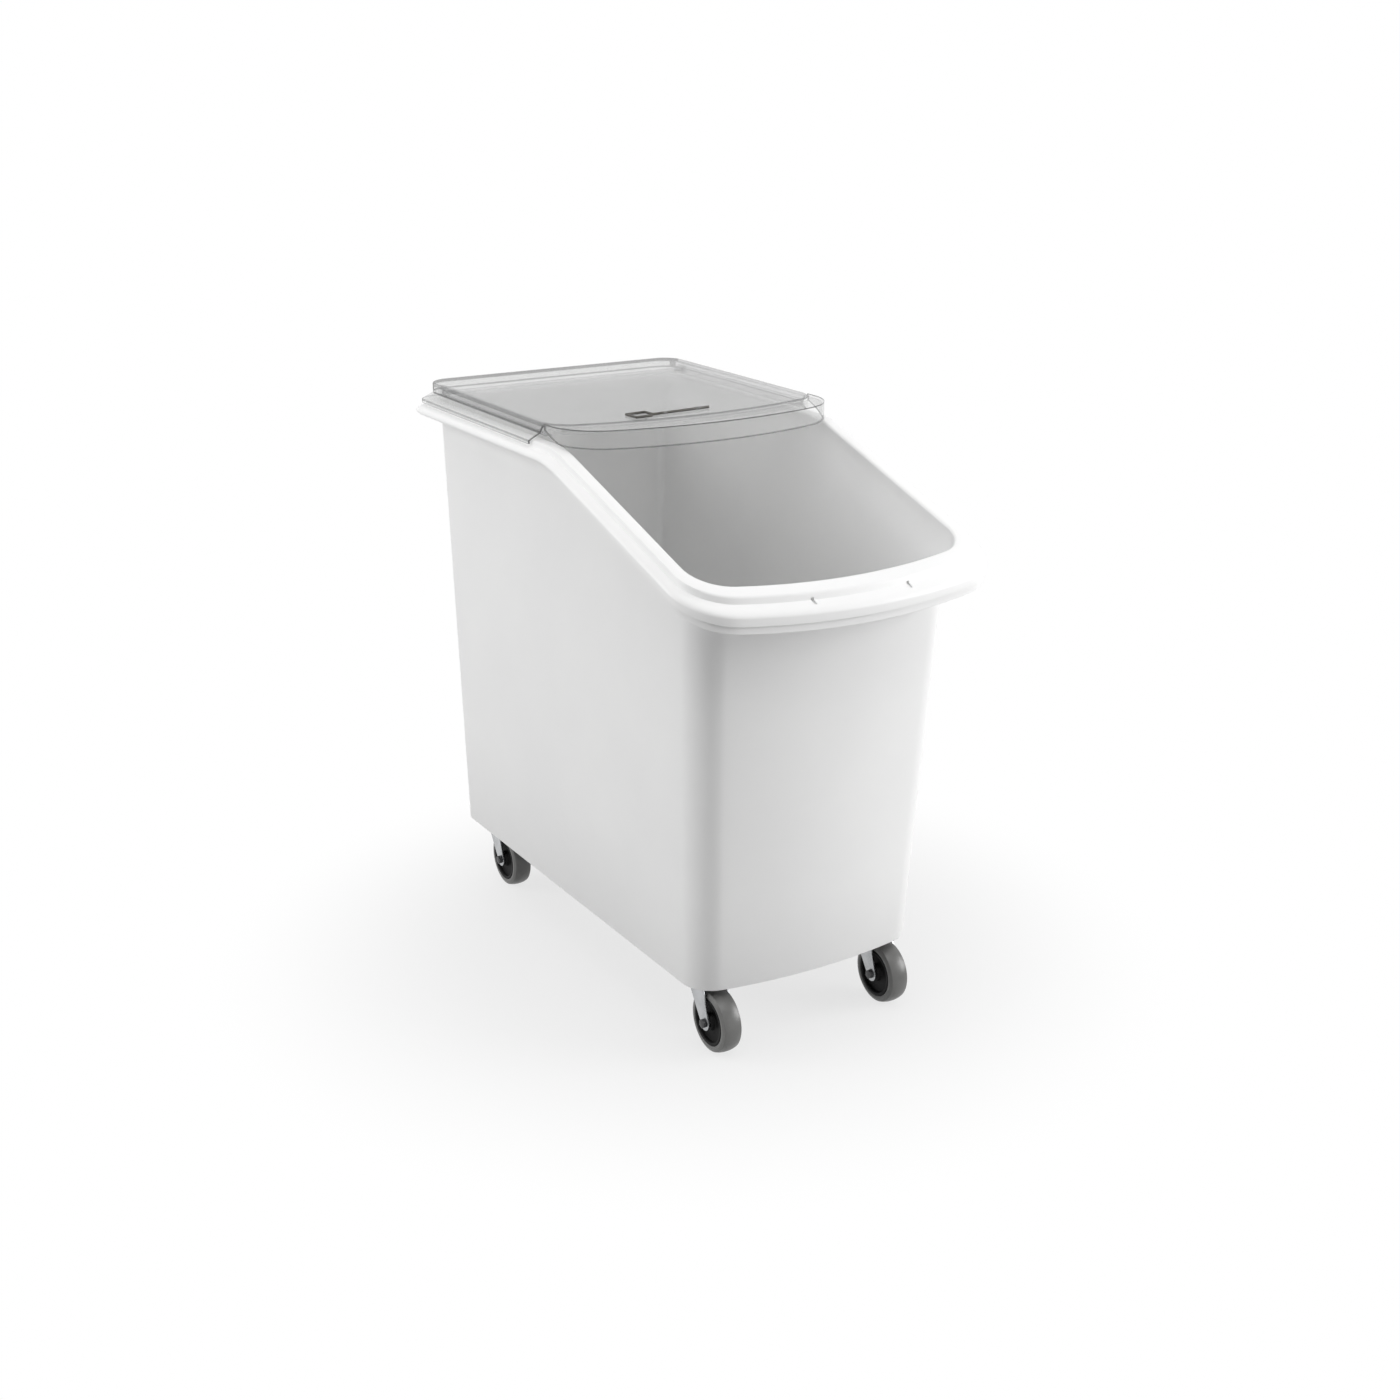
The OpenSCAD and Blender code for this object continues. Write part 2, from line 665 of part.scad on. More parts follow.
module fork() {
    color(zinc) difference() {
        union() {
            translate([-fork_half_w, -crown_front, crown_z])
                cube([2 * fork_half_w, crown_front + crown_rear, crown_t]);
            translate([0, 0, crown_z]) cylinder(h = crown_t + race_h, r = race_r);
            leg(-1);
            leg(1);
        }
        ball_track();
        translate([0, 0, crown_z - over]) cylinder(h = crown_t + race_h + 2 * over, r = king_r + run_gap);
        on_axle() cylinder(h = 2 * fork_half_w + 2 * over, r = axle_r + fit_gap, center = true);
    }
}

module axle_bolt() {
    color(zinc) on_axle() translate([0, 0, -fork_half_w - fit_gap - axle_head_h]) union() {
        hexagon(axle_flats, axle_head_h);
        cylinder(h = 2 * (fork_half_w + fit_gap + axle_head_h) + axle_past, r = axle_r);
    }
}

module axle_nut() {
    color(zinc) on_axle() translate([0, 0, fork_half_w + fit_gap]) difference() {
        hexagon(axle_flats, axle_head_h);
        translate([0, 0, -over]) cylinder(h = axle_head_h + 2 * over, r = axle_r + fit_gap);
    }
}

bush_l = 2 * (fork_half_w - leg_t - fit_gap);
module axle_bush() {
    color(zinc) on_axle() difference() {
        cylinder(h = bush_l, r = bush_r, center = true);
        cylinder(h = bush_l + 2 * over, r = axle_r + fit_gap, center = true);
    }
}

module hub() {
    color(hub_black) on_axle() rotate_extrude() difference() {
        union() {
            translate([0, -boss_half_l]) square([boss_r, 2 * boss_half_l]);
            translate([0, -web_half_t]) square([hub_r, 2 * web_half_t]);
            translate([hub_r - hub_ring, -tread_w / 2]) square([hub_ring, tread_w]);
        }
        translate([0, -boss_half_l - over]) square([bush_r + run_gap, 2 * (boss_half_l + over)]);
    }
}

module tyre() {
    inner = hub_r + fit_gap;
    flat_half = tread_w / 2 - tread_r;
    color(tyre_grey) on_axle() rotate_extrude() difference() {
        union() {
            translate([0, -tread_w / 2]) square([wheel_r - tread_r, tread_w]);
            translate([0, -flat_half]) square([wheel_r, 2 * flat_half]);
            for (s = [-1, 1]) translate([wheel_r - tread_r, s * flat_half]) circle(tread_r);
        }
        translate([0, -tread_w / 2 - over]) square([inner, tread_w + 2 * over]);
    }
}

module fl() {
    translate([-caster_x, caster_front_y, 0]) children();
}

module fr() {
    translate([caster_x, caster_front_y, 0]) children();
}

module rl() {
    translate([-caster_x, caster_rear_y, 0]) children();
}

module rr() {
    translate([caster_x, caster_rear_y, 0]) children();
}

tub();
rear_lid();
rail(-1);  // rail_left
rail(1);  // rail_right
runner(-1);  // runner_left
runner(1);  // runner_right
front_lid();
lid_pins();
scoop_hook();
hook_clips();
caster_inserts();
fl() head();  // head_fl
fl() kingpin();  // kingpin_fl
fl() mount_bolt();  // mount_bolt_fl
fl() balls();  // balls_fl
fl() fork();  // fork_fl
fl() axle_bolt();  // axle_bolt_fl
fl() axle_nut();  // axle_nut_fl
fl() axle_bush();  // axle_bush_fl
fl() hub();  // hub_fl
fl() tyre();  // tyre_fl
fr() head();  // head_fr
fr() kingpin();  // kingpin_fr
fr() mount_bolt();  // mount_bolt_fr
fr() balls();  // balls_fr
fr() fork();  // fork_fr
fr() axle_bolt();  // axle_bolt_fr
fr() axle_nut();  // axle_nut_fr
fr() axle_bush();  // axle_bush_fr
fr() hub();  // hub_fr
fr() tyre();  // tyre_fr
rl() head();  // head_rl
rl() kingpin();  // kingpin_rl
rl() mount_bolt();  // mount_bolt_rl
rl() balls();  // balls_rl
rl() fork();  // fork_rl
rl() axle_bolt();  // axle_bolt_rl
rl() axle_nut();  // axle_nut_rl
rl() axle_bush();  // axle_bush_rl
rl() hub();  // hub_rl
rl() tyre();  // tyre_rl
rr() head();  // head_rr
rr() kingpin();  // kingpin_rr
rr() mount_bolt();  // mount_bolt_rr
rr() balls();  // balls_rr
rr() fork();  // fork_rr
rr() axle_bolt();  // axle_bolt_rr
rr() axle_nut();  // axle_nut_rr
rr() axle_bush();  // axle_bush_rr
rr() hub();  // hub_rr
rr() tyre();  // tyre_rr
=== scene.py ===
import math

import bmesh
import bpy
from mathutils import Matrix, Vector

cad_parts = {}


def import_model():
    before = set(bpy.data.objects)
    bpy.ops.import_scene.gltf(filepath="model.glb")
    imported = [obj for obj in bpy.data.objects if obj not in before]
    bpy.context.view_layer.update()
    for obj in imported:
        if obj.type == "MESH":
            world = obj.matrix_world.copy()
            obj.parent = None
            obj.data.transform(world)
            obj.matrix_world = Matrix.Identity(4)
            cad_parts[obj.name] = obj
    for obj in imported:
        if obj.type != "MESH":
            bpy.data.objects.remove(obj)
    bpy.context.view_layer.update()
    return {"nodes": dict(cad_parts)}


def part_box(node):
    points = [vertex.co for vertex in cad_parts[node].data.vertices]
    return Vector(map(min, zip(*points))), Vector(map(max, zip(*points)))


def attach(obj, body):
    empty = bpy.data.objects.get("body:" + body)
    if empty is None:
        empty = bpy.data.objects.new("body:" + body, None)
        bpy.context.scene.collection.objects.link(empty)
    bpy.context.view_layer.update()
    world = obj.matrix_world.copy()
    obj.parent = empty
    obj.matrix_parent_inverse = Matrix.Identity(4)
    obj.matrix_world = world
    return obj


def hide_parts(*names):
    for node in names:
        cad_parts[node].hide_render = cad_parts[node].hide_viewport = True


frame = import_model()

# Lengths are in metres, names that end in DEG are in degrees, colours are linear
scene = bpy.context.scene
CASTERS = ("fl", "fr", "rl", "rr")

# Shader nodes

NOISE_RANGE = (0.3, 0.7)  # nearly all values of a noise texture lie in here
CLOUD_DETAIL, GRAIN_DETAIL, GRAIN_STRENGTH = 4.0, 2.0, 0.25
HAZE_SCALE, HAZE_DETAIL = 9.0, 5.0
SCUFF_SCALE, SCUFF_STRETCH, SCUFF_STRENGTH, SCUFF_DEPTH = 240.0, (1, 0.15, 1), 0.03, 0.0001
# Painted shade: where a clear sheet turns away from view its colour is darkened, standing for the dark that
# light bending in it gives there; it also gets denser
TURN_POWER, TURN_TONE, TURN_DENSE = 6.0, 0.3, 0.55  # where a clear sheet turns away
SHEET_IOR = 1.5
MIX_A, MIX_B, MIX_RESULT = 6, 7, 2  # the colour sockets of a mix node


def new_material(name):
    m = bpy.data.materials.new(name)
    m.use_nodes = True
    return m, m.node_tree.nodes, m.node_tree.links, m.node_tree.nodes["Principled BSDF"]


def noise(nodes, links, coord, scale, detail=3.0, stretch=(1, 1, 1)):
    mapping = nodes.new("ShaderNodeMapping")
    mapping.inputs["Scale"].default_value = stretch
    links.new(coord, mapping.inputs["Vector"])
    tex = nodes.new("ShaderNodeTexNoise")
    tex.inputs["Scale"].default_value = scale
    tex.inputs["Detail"].default_value = detail
    links.new(mapping.outputs["Vector"], tex.inputs["Vector"])
    return tex.outputs["Fac"]


def ramp(nodes, links, fac, c0, c1):
    r = nodes.new("ShaderNodeValToRGB")
    for element, position, colour in zip(r.color_ramp.elements, NOISE_RANGE, (c0, c1)):
        element.position = position
        element.color = (*colour, 1)
    links.new(fac, r.inputs["Fac"])
    return r.outputs["Color"]


def map_range(nodes, links, value, source, target, smooth=False):
    """The value moved from one range to another and held at its ends."""
    r = nodes.new("ShaderNodeMapRange")
    r.interpolation_type = "SMOOTHSTEP" if smooth else "LINEAR"
    r.inputs["From Min"].default_value, r.inputs["From Max"].default_value = source
    r.inputs["To Min"].default_value, r.inputs["To Max"].default_value = target
    links.new(value, r.inputs["Value"])
    return r.outputs["Result"]


def math_node(nodes, links, operation, *values, clamp=False):
    """The result of a math node whose values are numbers or sockets."""
    node = nodes.new("ShaderNodeMath")
    node.operation = operation
    node.use_clamp = clamp
    for socket, value in zip(node.inputs, values):
        if isinstance(value, float):
            socket.default_value = value
        else:
            links.new(value, socket)
    return node.outputs[0]


def mix_shaders(nodes, links, fac, first, second, output):
    pick = nodes.new("ShaderNodeMixShader")
    links.new(fac, pick.inputs["Fac"])
    links.new(first.outputs[0], pick.inputs[1])
    links.new(second.outputs[0], pick.inputs[2])
    links.new(pick.outputs[0], output.inputs["Surface"])


def bump(nodes, links, shader, fac, strength, distance):
    b = nodes.new("ShaderNodeBump")
    b.inputs["Strength"].default_value = strength
    b.inputs["Distance"].default_value = distance
    links.new(fac, b.inputs["Height"])
    links.new(b.outputs["Normal"], shader.inputs["Normal"])


# Materials


def surface(name, c0, c1, rough, grain, grain_depth, cloud, metallic=0.0, specular=0.5):
    """Solid material: two near tones in soft clouds, uneven gloss, and a fine surface grain."""
    m, nodes, links, shader = new_material(name)
    coord = nodes.new("ShaderNodeTexCoord").outputs["Object"]
    clouds = noise(nodes, links, coord, cloud, CLOUD_DETAIL)
    fine = noise(nodes, links, coord, grain, GRAIN_DETAIL)
    links.new(ramp(nodes, links, clouds, c0, c1), shader.inputs["Base Color"])
    links.new(map_range(nodes, links, clouds, NOISE_RANGE, rough), shader.inputs["Roughness"])
    shader.inputs["Metallic"].default_value = metallic
    shader.inputs["Specular IOR Level"].default_value = specular
    bump(nodes, links, shader, fine, GRAIN_STRENGTH, grain_depth)
    return m


def clear(name, c0, c1, rough, alpha):
    """Clear moulded sheet with faint haze and scuffs; it gets denser where it turns away, and darker there as
    painted shade.
    """
    m, nodes, links, shader = new_material(name)
    coord = nodes.new("ShaderNodeTexCoord").outputs["Object"]
    haze = noise(nodes, links, coord, HAZE_SCALE, HAZE_DETAIL)
    scuff = noise(nodes, links, coord, SCUFF_SCALE, stretch=SCUFF_STRETCH)
    facing = nodes.new("ShaderNodeLayerWeight").outputs["Facing"]
    turn = math_node(nodes, links, "POWER", facing, TURN_POWER)
    tone = nodes.new("ShaderNodeMix")
    tone.data_type = "RGBA"
    links.new(turn, tone.inputs["Factor"])
    links.new(ramp(nodes, links, haze, c0, c1), tone.inputs[MIX_A])
    tone.inputs[MIX_B].default_value = (*(v * TURN_TONE for v in c0), 1)
    links.new(tone.outputs[MIX_RESULT], shader.inputs["Base Color"])
    links.new(map_range(nodes, links, haze, NOISE_RANGE, rough), shader.inputs["Roughness"])
    cover = map_range(nodes, links, haze, NOISE_RANGE, alpha)
    dense = math_node(nodes, links, "MULTIPLY_ADD", turn, TURN_DENSE, cover, clamp=True)
    links.new(dense, shader.inputs["Alpha"])
    shader.inputs["IOR"].default_value = SHEET_IOR
    bump(nodes, links, shader, scuff, SCUFF_STRENGTH, SCUFF_DEPTH)
    return m


tub_mat = surface("tub_white", (0.83, 0.83, 0.83), (0.87, 0.87, 0.866), rough=(0.38, 0.48),
                  grain=900.0, grain_depth=0.0002, cloud=5.0)
clear_mat = clear("clear_sheet", (0.62, 0.625, 0.62), (0.70, 0.705, 0.70), rough=(0.05, 0.12),
                  alpha=(0.13, 0.17))
# Painted shade for the clear lids: a faint and a dark tone laid along the sheet's edges and on its rounded
# rear corners
faint_shade_mat = clear("clear_painted_faint_shade", (0.16, 0.165, 0.165), (0.24, 0.245, 0.245), rough=(0.08, 0.18),
                 alpha=(0.40, 0.50))
dark_shade_mat = clear("clear_painted_dark_shade", (0.035, 0.036, 0.037), (0.07, 0.072, 0.073), rough=(0.1, 0.2),
                 alpha=(0.70, 0.82))
guide_mat = clear("guide_plastic", (0.66, 0.67, 0.68), (0.76, 0.77, 0.775), rough=(0.15, 0.28),
                  alpha=(0.10, 0.15))
dark_steel_mat = surface("dark_steel", (0.05, 0.05, 0.052), (0.09, 0.09, 0.092), rough=(0.3, 0.44),
                         grain=700.0, grain_depth=0.0002, cloud=40.0, metallic=0.8)
steel_mat = surface("bright_steel", (0.55, 0.56, 0.58), (0.68, 0.69, 0.70), rough=(0.24, 0.38),
                    grain=700.0, grain_depth=0.0002, cloud=40.0, metallic=1.0)
zinc_mat = surface("zinc_plate", (0.42, 0.43, 0.44), (0.58, 0.59, 0.60), rough=(0.24, 0.40),
                   grain=420.0, grain_depth=0.0003, cloud=55.0, metallic=1.0)
wire_mat = surface("dark_wire", (0.035, 0.033, 0.03), (0.075, 0.07, 0.06), rough=(0.3, 0.45),
                   grain=900.0, grain_depth=0.0001, cloud=90.0, metallic=0.3)
brass_mat = surface("insert_brass", (0.60, 0.45, 0.20), (0.74, 0.58, 0.30), rough=(0.25, 0.4),
                    grain=600.0, grain_depth=0.0002, cloud=60.0, metallic=1.0)
hub_mat = surface("hub_black", (0.003, 0.003, 0.003), (0.008, 0.008, 0.008), rough=(0.42, 0.58),
                  grain=800.0, grain_depth=0.0003, cloud=40.0, specular=0.12)
tyre_mat = surface("tread_grey", (0.115, 0.115, 0.112), (0.165, 0.165, 0.16), rough=(0.30, 0.42),
                   grain=650.0, grain_depth=0.0003, cloud=30.0)

# Pieces made from the solids, with rounded edges

SMOOTH_DEG, BEVEL_DEG, FLAT_DEG = 35, 30, 0.3
MERGE_DIST = 2e-6
SOLID_NORMALS = ("custom_normal", "sharp_edge", "sharp_face")
WIRE_EDGE, FINE_EDGE, TUBE_EDGE = 0.0002, 0.0003, 0.0004
PLAIN_EDGE, BOLT_EDGE, FORK_EDGE = 0.0005, 0.0006, 0.0008
EDGE_STEPS, FORK_EDGE_STEPS = 2, 3


def add_object(name, mesh, body, slot, *nodes):
    obj = bpy.data.objects.new(name, mesh)
    scene.collection.objects.link(obj)
    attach(obj, body)
    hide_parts(*nodes)
    return obj


def settle(mesh, angle):
    """Smooth shading, except at edges sharper than the angle."""
    for p in mesh.polygons:
        p.use_smooth = True
    mesh.set_sharp_from_angle(angle=math.radians(angle))


def dressed(mesh, material, angle=SMOOTH_DEG):
    mesh.materials.clear()
    mesh.materials.append(material)
    settle(mesh, angle)
    return mesh


def edited(mesh, change):
    """The same mesh after a change to its points, edges and faces."""
    bm = bmesh.new()
    bm.from_mesh(mesh)
    change(bm)
    bm.to_mesh(mesh)
    bm.free()
    return mesh


def mesh_of(name, verts, faces):
    """A closed mesh with its faces turned outward."""
    mesh = bpy.data.meshes.new(name)
    mesh.from_pydata(verts, [], faces)
    mesh.update()
    return edited(mesh, lambda bm: bmesh.ops.recalc_face_normals(bm, faces=bm.faces))


def applied(mesh, *mods):
    """The mesh after some modifiers, as a new mesh."""
    tmp = bpy.data.objects.new("tmp", mesh)
    scene.collection.objects.link(tmp)
    for kind, values in mods:
        mod = tmp.modifiers.new(kind, kind)
        for k, v in values.items():
            setattr(mod, k, v)
    dg = bpy.context.evaluated_depsgraph_get()
    made = bpy.data.meshes.new_from_object(tmp.evaluated_get(dg))
    bpy.data.objects.remove(tmp)
    return made


def bevel(width, segments=EDGE_STEPS):
    return "BEVEL", dict(width=width, segments=segments, limit_method="ANGLE",
                         angle_limit=math.radians(BEVEL_DEG), use_clamp_overlap=True)


def clean_copy(node):
    """A node's solid with its flat faces whole again and its stored normals gone."""
    bm = bmesh.new()
    bm.from_mesh(frame["nodes"][node].data)
    bmesh.ops.remove_doubles(bm, verts=bm.verts, dist=MERGE_DIST)
    bmesh.ops.dissolve_limit(bm, angle_limit=math.radians(FLAT_DEG), verts=bm.verts, edges=bm.edges)
    mesh = bpy.data.meshes.new(node + "_look")
    bm.to_mesh(mesh)
    bm.free()
    for name in [a.name for a in mesh.attributes if a.name in SOLID_NORMALS]:
        mesh.attributes.remove(mesh.attributes[name])
    return mesh


def rounded(node, body, slot, material, width=PLAIN_EDGE, segments=EDGE_STEPS):
    mesh = dressed(applied(clean_copy(node), bevel(width, segments)), material)
    return add_object(node + ".look", mesh, body, slot, node)


# Tub: one skin through many outlines, as moulded

RIM_H, SLOPE, BEND_Y, BEND_R = 0.663, math.radians(17.5), -0.014, 0.175
BEND_BACK = BEND_Y + BEND_R * math.tan(SLOPE / 2)
BEND_FRONT = BEND_Y - BEND_R * math.tan(SLOPE / 2) * math.cos(SLOPE)

# An outline: half width, rear end, rear corner radius, front end, front bow radius, front corner radius
MOUTH = (0.171, 0.344, 0.016, -0.327, 0.645, 0.046)
RIM = (0.199, 0.363, 0.027, -0.363, 0.690, 0.066)
WALL = (0.167, 0.347, 0.014, -0.311, 0.670, 0.042)
BASE = (0.1505, 0.346, 0.012, -0.280, 0.640, 0.038)
OUTWARD = (1, 1, 1, -1, 1, 1)
RIM_FRONT = RIM[3]
MIN_CORNER_R = 0.002

WALL_T, BASE_Z, BASE_R, FLOOR_Z, FLOOR_T, FLOOR_R = 0.004, 0.083, 0.0012, 0.112, 0.004, 0.014
WALL_TOP, MOUTH_FOOT, LIP_R = 0.030, 0.014, 0.003
RIM_GAIN = 0.015  # the rim's outer face gets this much deeper from the bend to the front

# The rim's inner bead falls to a ledge, which rolls over to the rim's outer edge; shares run from mouth to rim
BEAD_SHARE, LEDGE_SHARE, LEDGE_DROP, ROLL_DROP, UNDER_DROP = 0.42, 0.60, 0.008, 0.007, 0.0135
BEAD_STEP = ((0.50, 0.0), (0.55, 0.0006), (0.572, 0.0024), (0.588, 0.0062), (LEDGE_SHARE, 0.0076))
# Outer edge of the rim, from its top round to its inside: inset, drop, share of the gain
RIM_EDGE = ((0.0, 0.0155, 0.5), (0.0006, 0.0160, 0.5), (0.002, 0.0166, 0.5), (0.002, 0.0174, 1),
            (0.0026, 0.018, 1), (0.0045, 0.018, 1), (0.0045, UNDER_DROP, 0))

CORNER_STEPS, BOW_STEPS, BEND_STEPS, ROUND_STEPS, ROLL_STEPS = 14, 36, 16, 6, 9
SLOPE_Y, LEVEL_Y = [-0.19, -0.13, -0.08], [0.08, 0.15, 0.22, 0.28]
BEND_STATIONS = [BEND_FRONT + (BEND_BACK - BEND_FRONT) * i / BEND_STEPS for i in range(BEND_STEPS + 1)]
STATIONS = SLOPE_Y + BEND_STATIONS + LEVEL_Y
WALL_SHARES = (0.25, 0.5, 0.75)
NEAR_TOP = 0.03  # a ring just below the top of the outer wall keeps its bend tight

PAD_X, PAD_Y, PAD_R, PAD_Z = 0.1165, (-0.2245, 0.3085), 0.024, (0.102, 0.114)
HOLE_R, HOLE_Z, PEG_STEPS = 0.0075, (0.100, 0.113), 48
SLOT_X, SLOT_Y, SLOT_DROP, SLOT_SIZE = 0.061, -0.347, 0.008, (0.0035, 0.012, 0.005)
TUB_SMOOTH_DEG = 40


def mix(a, b, k):
    return tuple(p + (q - p) * k for p, q in zip(a, b))


def outset(o, d):
    w, rear, rear_r, front, bow_r, front_r = (v + d * s for v, s in zip(o, OUTWARD))
    return w, rear, max(rear_r, MIN_CORNER_R), front, bow_r, max(front_r, MIN_CORNER_R)


def arc(c, r, a0, a1, n):
    return [(c[0] + r * math.cos(a0 + (a1 - a0) * i / n), c[1] + r * math.sin(a0 + (a1 - a0) * i / n))
            for i in range(n + 1)]


def quarter(steps):
    """Angles of a quarter turn."""
    return [math.radians(90 * i / steps) for i in range(steps + 1)]


def outline(o):
    w, rear, rear_r, front, bow_r, front_r = o
    cx = w - front_r
    cy = front + bow_r - math.sqrt((bow_r - front_r) ** 2 - cx ** 2)
    phi = math.atan2(cy - front - bow_r, cx)
    right = (arc((cx, cy), front_r, phi, 0, CORNER_STEPS) + [(w, y) for y in STATIONS]
             + arc((w - rear_r, rear - rear_r), rear_r, 0, math.pi / 2, CORNER_STEPS))
    left = [(-x, y) for x, y in reversed(right)]
    return right + left + arc((0, front + bow_r), bow_r, -math.pi - phi, phi, BOW_STEPS)[1:-1]


def rim_top(y):
    if y >= BEND_BACK:
        return RIM_H
    if y >= BEND_FRONT:
        return RIM_H - BEND_R + math.sqrt(BEND_R ** 2 - (BEND_BACK - y) ** 2)
    return RIM_H - math.tan(SLOPE) * (BEND_Y - y)


def gain(y):
    return RIM_GAIN * max(0, min(1, (BEND_Y - y) / (BEND_Y - RIM_FRONT)))


def level(o, z):
    return [(x, y, z) for x, y in outline(o)]


def under_rim(o, drop, share=0.0):
    return [(x, y, rim_top(y) - drop - share * gain(y)) for x, y in outline(o)]


def on_wall(z):
    return mix(BASE, WALL, (z - BASE_Z) / (RIM_H - BASE_Z))


def on_rim(share):
    return mix(MOUTH, RIM, share)


def between(first, last, shares):
    return [[mix(p, q, k) for p, q in zip(first, last)] for k in shares]


def tub_rings():
    """Outlines from the inner floor up, over the rim, down the outside and to the floor's underside."""
    top = FLOOR_Z + FLOOR_T
    rings = []
    for a in quarter(ROUND_STEPS):
        inset = WALL_T + FLOOR_R * (1 - math.sin(a))
        rings.append(level(outset(on_wall(top), -inset), top + FLOOR_R * (1 - math.cos(a))))
    inner_top = under_rim(outset(WALL, -WALL_T), WALL_TOP, 1)
    rings += between(rings[-1], inner_top, WALL_SHARES)
    rings += [inner_top, under_rim(MOUTH, MOUTH_FOOT, 1)]
    for a in quarter(ROUND_STEPS):
        rings.append(under_rim(outset(MOUTH, LIP_R * (1 - math.cos(a))), LIP_R * (1 - math.sin(a))))
    rings += [under_rim(on_rim(share), drop) for share, drop in BEAD_STEP]
    for a in quarter(ROLL_STEPS)[1:]:
        share = LEDGE_SHARE + (1 - LEDGE_SHARE) * math.sin(a)
        rings.append(under_rim(on_rim(share), LEDGE_DROP + ROLL_DROP * (1 - math.cos(a))))
    rings += [under_rim(outset(RIM, -inset), drop, share) for inset, drop, share in RIM_EDGE]
    rings += [under_rim(on_rim(LEDGE_SHARE), UNDER_DROP), under_rim(on_rim(BEAD_SHARE), WALL_T),
              under_rim(outset(MOUTH, WALL_T), WALL_T), under_rim(outset(MOUTH, WALL_T), MOUTH_FOOT, 1)]
    outer_top = under_rim(WALL, WALL_TOP, 1)
    rings += between(outer_top, level(BASE, BASE_Z + BASE_R), (0, NEAR_TOP, *WALL_SHARES, 1))
    rings += [level(outset(BASE, -BASE_R / 3), BASE_Z + BASE_R / 4), level(outset(BASE, -BASE_R), BASE_Z),
              level(outset(BASE, -WALL_T), BASE_Z), level(outset(on_wall(FLOOR_Z), -WALL_T), FLOOR_Z)]
    return rings


def skin(name, rings):
    n = len(rings[0])
    verts = [p for r in rings for p in r]
    faces = [tuple(range(n)), tuple(reversed(range((len(rings) - 1) * n, len(rings) * n)))]
    for j in range(len(rings) - 1):
        for i in range(n):
            a, b = j * n + i, j * n + (i + 1) % n
            faces.append((a, a + n, b + n, b))
    return mesh_of(name, verts, faces)


def pegs(r, z):
    """Builds four upright cylinders between two heights, one over each caster."""
    def build(bm):
        for x in (-PAD_X, PAD_X):
            for y in PAD_Y:
                bmesh.ops.create_cone(bm, cap_ends=True, segments=PEG_STEPS, radius1=r, radius2=r,
                                      depth=z[1] - z[0], matrix=Matrix.Translation((x, y, (z[0] + z[1]) / 2)))
    return build


def slots(bm):
    """Two short boxes along the slope, at the front of the rim."""
    for x in (-SLOT_X, SLOT_X):
        place = (Matrix.Translation((x, SLOT_Y, rim_top(SLOT_Y) - SLOT_DROP)) @ Matrix.Rotation(SLOPE, 4, "X")
                 @ Matrix.Diagonal((*SLOT_SIZE, 1)))
        bmesh.ops.create_cube(bm, size=1.0, matrix=place)


def cutter(name, build):
    obj = bpy.data.objects.new(name, edited(bpy.data.meshes.new(name), build))
    scene.collection.objects.link(obj)
    return obj


def make_tub():
    steps = (("UNION", cutter("pads", pegs(PAD_R, PAD_Z))),
             ("DIFFERENCE", cutter("holes", pegs(HOLE_R, HOLE_Z))),
             ("DIFFERENCE", cutter("slots", slots)))
    mesh = applied(skin("tub_skin", tub_rings()),
                   *(("BOOLEAN", dict(operation=how, object=tool, solver="EXACT")) for how, tool in steps))
    for _, tool in steps:
        bpy.data.objects.remove(tool)
    return add_object("tub.look", dressed(mesh, tub_mat, TUB_SMOOTH_DEG), "bin", "tub_plastic", "tub")


make_tub()

# Clear lids: polished sheet, with painted shade where the sheet's edge shows and at its rounded rear corners,
# standing for the dark look that light bending in the sheet gives there

# The faint and dark places hold painted shade on the clear sheet
CLEAR, FAINT_SHADE, DARK_SHADE = 0, 1, 2  # places in the lids' list of materials
HAT_Z, HAT_UNDER, FOOT_Z, EDGE_Z, LIP_Z = 0.6845, 0.6820, 0.6715, 0.6625, 0.6585
LID_MID_Y, LID_BACK_Y, WALL_END_Y = 0.16, 0.33, (0.02, 0.045)
CHEEK_X, CHEEK_Y, SKIRT_FOOT, SKIRT_FRONT = 0.178, 0.025, (-0.014, 0.6642), (-0.072, 0.6618)
SKIRT_SLOPE = math.atan2(SKIRT_FOOT[1] - SKIRT_FRONT[1], SKIRT_FOOT[0] - SKIRT_FRONT[0])
# Widths of the bands of painted shade along the lids' edges, and how far they reach above and below the edges
FOOT_LINE_W, HAT_LINE_W, TOP_LINE_W, SKIRT_LINE_W = 0.0022, 0.0045, 0.0014, 0.0012
ABOVE_EDGE, BELOW_EDGE, BELOW_FOOT = 0.0008, 0.0012, 0.0004
LID_EDGE, LID_SMOOTH_DEG = 0.0004, 32

# Limits on the parts of a face's normal
TURNED, STEEP, UPRIGHT, NEAR_LEVEL, DOWNWARD = 0.3, 0.5, 0.1, 0.97, -0.4
# REAR_CORNER picks the facets of each rounded rear corner that get a band of painted shade
ROUNDED_TOP, REAR_CORNER = (0.1, 0.98), (0.4, 0.66)


def foot_height(y):
    return SKIRT_FRONT[1] + (y - SKIRT_FRONT[0]) * math.tan(SKIRT_SLOPE)


def split_at(mesh, place, normal):
    def cut(bm):
        everything = bm.verts[:] + bm.edges[:] + bm.faces[:]
        bmesh.ops.bisect_plane(bm, geom=everything, plane_co=place, plane_no=normal)
    edited(mesh, cut)


def level_cuts(*heights):
    return [((0, 0, z), (0, 0, 1)) for z in heights]


